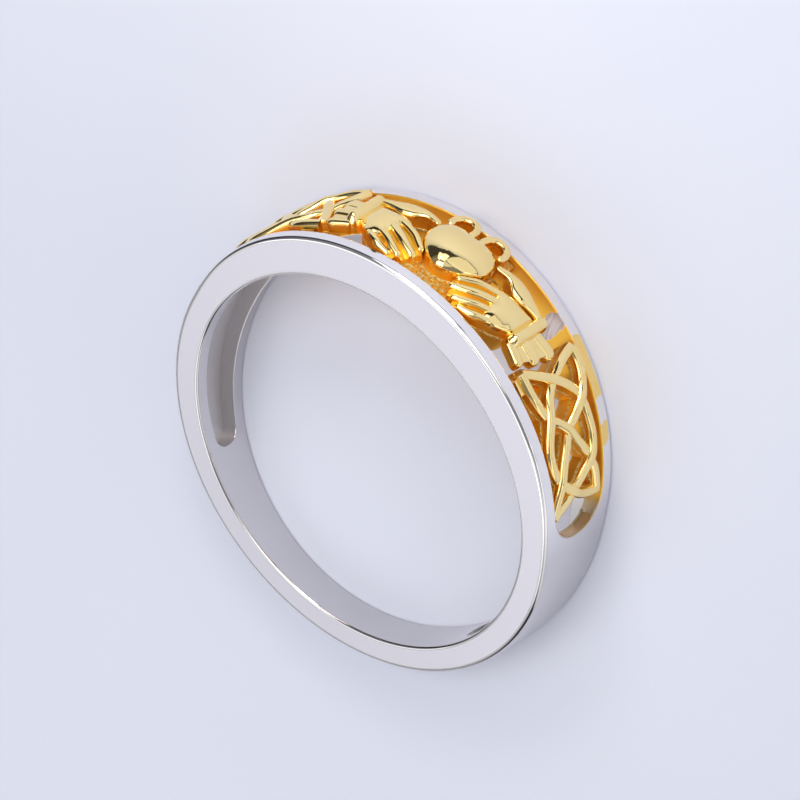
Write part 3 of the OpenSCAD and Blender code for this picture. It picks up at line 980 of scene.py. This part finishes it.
def sleeve_web():
    """The low sheet between the folds of a sleeve"""
    span = KNOT_FROM - CUFF_AT
    rim = [(CUFF_AT + WEB_BEGINS * span, row[0] * FRONT_HALF, 1) for row in (SLEEVE[0], SLEEVE[-1])]
    rim += [(CUFF_AT + row[4] * span * WEB_REACH, row[1] * FRONT_HALF, 1) for row in SLEEVE[::-1]]
    middle = (sum(row[0] for row in rim) / len(rim), sum(row[1] for row in rim) / len(rim))
    return boss(rim, middle, SLEEVE_RISE * WEB_SHARE, levels=2, floor=SLEEVE_FLOOR)


def claddagh(metal):
    def path(rows, width):
        rows = curve(rows, STRAND_STEPS)
        return [(s * CUFF_AT, t * FRONT_HALF, h * HAND_RISE, w * width) for s, t, h, w in rows]

    fingers = [rounded_ends(path(rows, FINGER_W)) for rows in FINGERS]
    fingers = cast_strands(fingers, metal, FINGER_PROFILE)
    beds = []
    for one, other in zip(FINGERS, FINGERS[1:]):
        rows = [[(p + q) / 2 for p, q in zip(*pair)] for pair in zip(one, other)]
        beds.append([(a, across, rise - BED_DROP, BED_W) for a, across, rise, _ in path(rows, 1)])
    # The beds count as deeper, so they are painted darker with the painted shade of the recesses
    beds = cast_strands(beds, metal, BED_PROFILE, shade_depth=BED_SHADE_DEPTH)
    thumb = cast_strands([rounded_ends(path(THUMB, THUMB_W))], metal, THUMB_PROFILE)
    crown = [(s * CROWN_END, t * FRONT_HALF, CROWN_RISE, CROWN_WIRE) for s, t in curve(CROWN, STRAND_STEPS)]
    crown = cast_strands([rounded_ends(crown, first=True)], metal, CROWN_PROFILE)
    folds = []
    for across, spread, width, rise, reach in SLEEVE:
        end, rows = CUFF_AT + (KNOT_FROM - CUFF_AT) * reach, []
        for i in range(FOLD_STEPS + 1):
            a = CUFF_AT + (end - CUFF_AT) * i / FOLD_STEPS
            middle = (across + (spread - across) * i / FOLD_STEPS) * FRONT_HALF
            rows.append((a, middle, rise * SLEEVE_RISE, width * SLEEVE_W))
        folds.append(rounded_ends(rows))
    sleeve = cast_strands(folds, metal, FOLD_PROFILE, SLEEVE_FLOOR)
    halves = [palm(), fingers, beds, thumb, crown, sleeve, sleeve_web(), cuff()]
    return join("gold_claddagh", [heart(), *plate(), *halves, *(mirrored(m) for m in halves)], metal)


def knot(metal):
    """The strand and its web, as the meshes of the knot on the right of the heart"""
    span = KNOT_TO - KNOT_FROM
    paths = []
    for run in KNOT:
        rows = []
        for s, t, over in smoothed(curve(run, OUTLINE_STEPS), KNOT_SMOOTHING):
            a = KNOT_FROM + s * span
            rows.append((a, t * half_window(a), KNOT_RISE * (1 - s) + WEAVE * over, STRAND_W))
        paths.append(rows)
    web = []
    for s, t in KNOT_TIE:
        a = KNOT_FROM + s * span
        web.append((a, t * half_window(a), 1))
    middle = (sum(a for a, _, _ in web) / len(web), sum(c for _, c, _ in web) / len(web))
    return [cast_strands(paths, metal, KNOT_PROFILE), boss(web, middle, TIE_RISE, levels=3)]


def material_bench(name):
    """A new material, with what its looks are put together from"""
    material = bpy.data.materials.new(name)
    material.use_nodes = True
    material.node_tree.nodes.clear()
    bench = Bench(material.node_tree)
    where = bench.node("ShaderNodeTexCoord", out="Object")

    def noise(scale, detail=2.0, stretch=None):
        spot = where if stretch is None else bench.vector("MULTIPLY", where, stretch)
        return bench.node("ShaderNodeTexNoise", {}, {"Vector": spot, "Scale": scale, "Detail": detail})

    def finish(colour, rough, strength, distance, height, metallic=1.0):
        bump = bench.node(
            "ShaderNodeBump", {}, {"Strength": strength, "Distance": distance, "Height": height}
        )
        shader = bench.node(
            "ShaderNodeBsdfPrincipled", {},
            {"Base Color": colour, "Metallic": metallic, "Roughness": rough, "Normal": bump},
        )
        bench.node("ShaderNodeOutputMaterial", {}, {"Surface": shader})
        return material

    return bench, noise, finish


def silver():
    """Polished silver with satin side faces. The rails are plated inside and, in places, on top.
    The silver is painted paler towards the front as painted light, and the plated walls a deeper orange as
    painted shade.
    """
    bench, noise, finish = material_bench("silver")
    satin, wall, cast, turn, ahead, across, inset = (
        bench.attribute(label) for label in ("satin", "wall", "cast", "turn", "ahead", "across", "inset")
    )
    blotch, fine, brushed = noise(260.0, 3.0), noise(9000.0, 4.0), noise(9000.0, 3.0, (1.0, 0.1, 1.0))
    # The patches have ragged ends
    ragged = turn + 5 * (noise(1300.0) - 0.5)
    bare = ragged.between(*BARE_PATCH, 0.3)
    plated_wall, bare_wall = wall * (1 - bare), wall * bare
    # The plated tops keep clear of the band's outer edge and end with the rail
    front = ahead.rises(0.17, 0.47)
    far = front * (1 - across.rises(-0.3, 0.3))
    rail = (inset + 0.3 * (noise(700.0) - 0.5)).rises(0.14, 0.2) * (1 - inset.rises(0.75, 0.85))
    on_top = ragged.between(*PLATED_PATCHES[0], 0.4) + ragged.between(*PLATED_PATCHES[1], 0.4)
    plated = (wall.rises(0.3, 0.7) * (1 - bare)).does("MAXIMUM", on_top * far * rail * (1 - wall))

    colour = bench.blend(blotch, SILVER_DARK, SILVER_PALE)
    # Painted light: the band is paler towards its front and darker towards its back, for the brighter
    # reflection there
    colour = bench.blend(front, colour, SILVER_PAINTED_LIGHT)
    colour = bench.blend(satin, colour, SILVER_SATIN)
    colour = bench.blend(bare_wall, colour, bench.blend(brushed.rises(0.35, 0.65), BARE_DARK, BARE_PALE))
    colour = bench.blend(plated, colour, PLATED_TOP)
    # The window's walls are gold plated and painted a deeper orange than the plated tops: painted shade of
    # the recess
    colour = bench.blend(plated_wall, colour, PLATED_WALL_PAINTED_SHADE)
    colour = bench.blend(wall * (1 - ahead.rises(0.31, 0.37)), colour, PLATED_END)
    rough = 0.07 + 0.2 * satin + 0.03 * blotch + 0.3 * wall + 0.45 * cast + 0.08 * plated
    return finish(colour, rough, 0.05, 0.00002, fine + 6 * brushed * bare_wall)


def gold():
    """Mirror polished gold plate, painted a deeper orange in the recesses as painted shade, gritty on the
    plate round the heart, with painted glints on the grit
    """
    bench, noise, finish = material_bench("gold")
    height, depth = bench.attribute("height"), bench.attribute("depth")
    deep = depth.rises(0.06, 0.4)
    floor = height.between(-PLATE_DEPTH - PLATE_BAND, -PLATE_DEPTH + PLATE_BAND, 0.02) * deep
    blotch, grit = noise(900.0), noise(6500.0, 3.0)
    colour = bench.blend(blotch, GOLD_DARK, GOLD_PALE)
    # Painted shade: the deeper the gold lies below the top of its form, the deeper orange it is painted
    colour = bench.blend(deep, colour, GOLD_PAINTED_SHADE)
    # The grit's bump is real; its paler specks are painted glints
    colour = bench.blend(floor * grit.rises(0.47, 0.54), colour, GOLD_GRIT_GLINT)
    rough = 0.06 + 0.34 * deep + 0.08 * floor + 0.03 * blotch
    return finish(colour, rough, 1.0, 0.0004, grit * (0.005 + floor) + 0.01 * blotch)


def paper():
    """Pale paper with faint clouds and a fine grain"""
    bench, noise, finish = material_bench("pale_paper")
    colour = bench.blend(noise(30.0), PAPER_DARK, PAPER_PALE)
    return finish(colour, 0.85, 0.1, 0.00005, noise(2500.0, 4.0), metallic=0.0)


def studio():
    """The floor, the sky, the lights and the camera"""
    corners = [(x * FLOOR_HALF, y * FLOOR_HALF, 0) for x, y in ((-1, -1), (1, -1), (1, 1), (-1, 1))]
    mesh = bpy.data.meshes.new("floor")
    mesh.from_pydata(corners, [], [(0, 1, 2, 3)])
    mesh.materials.append(paper())
    floor = stand("floor", mesh)

    # The sky is dim near the horizon and brighter overhead
    world = bpy.data.worlds.new("studio")
    bpy.context.scene.world = world
    world.use_nodes = True
    world.node_tree.nodes.clear()
    bench = Bench(world.node_tree)
    direction = bench.node("ShaderNodeTexCoord", out="Generated")
    upward = bench.node("ShaderNodeSeparateXYZ", {}, {0: direction}).out("Z")
    strength = 0.05 + 0.21 * upward.rises(0.35, 0.65)
    dome = bench.node("ShaderNodeBackground", {}, {"Color": SKY, "Strength": strength})
    bench.node("ShaderNodeOutputWorld", {}, {"Surface": dome})

    for name, spot, width, height, power in LIGHTS:
        light = bpy.data.lights.new(name, "AREA")
        light.shape, light.size, light.size_y, light.energy = "RECTANGLE", width, height, power
        lamp = stand(name, light)
        lamp.location = spot
        lamp.rotation_euler = (-Vector(spot)).to_track_quat("-Z", "Y").to_euler()

    bpy.context.scene.view_settings.view_transform = "Standard"
    camera = stand("camera", bpy.data.cameras.new("camera"))
    camera.data.lens, camera.data.sensor_width = CAMERA_LENS, 36
    camera.data.clip_start, camera.data.clip_end = 0.05, 5
    camera.matrix_world = (
        Matrix.Translation(CAMERA_TARGET)
        @ Matrix.Rotation(math.radians(CAMERA_AZIMUTH), 4, "Z")
        @ Matrix.Rotation(math.radians(90 - CAMERA_ELEVATION), 4, "X")
        @ Matrix.Rotation(math.radians(-CAMERA_ROLL), 4, "Z")
        @ Matrix.Translation((0, 0, CAMERA_DISTANCE))
    )
    bpy.context.scene.camera = camera


STRAND_TREE = cast_strand_tree()
silver_metal, gold_metal = silver(), gold()
band = silver_band()
band.data.materials.append(silver_metal)
inlay = claddagh(gold_metal)
knot_left_form = knot(gold_metal)
pieces = {
    "band": (band, "silver"),
    "claddagh": (inlay, "gold"),
    "knot_left": (join("gold_knot_left", knot_left_form, gold_metal), "gold"),
    "knot_right": (join("gold_knot_right", [mirrored(m) for m in knot_left_form], gold_metal), "gold"),
}
for node, (piece, slot) in pieces.items():
    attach(piece, "root")
    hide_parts(node)
studio()
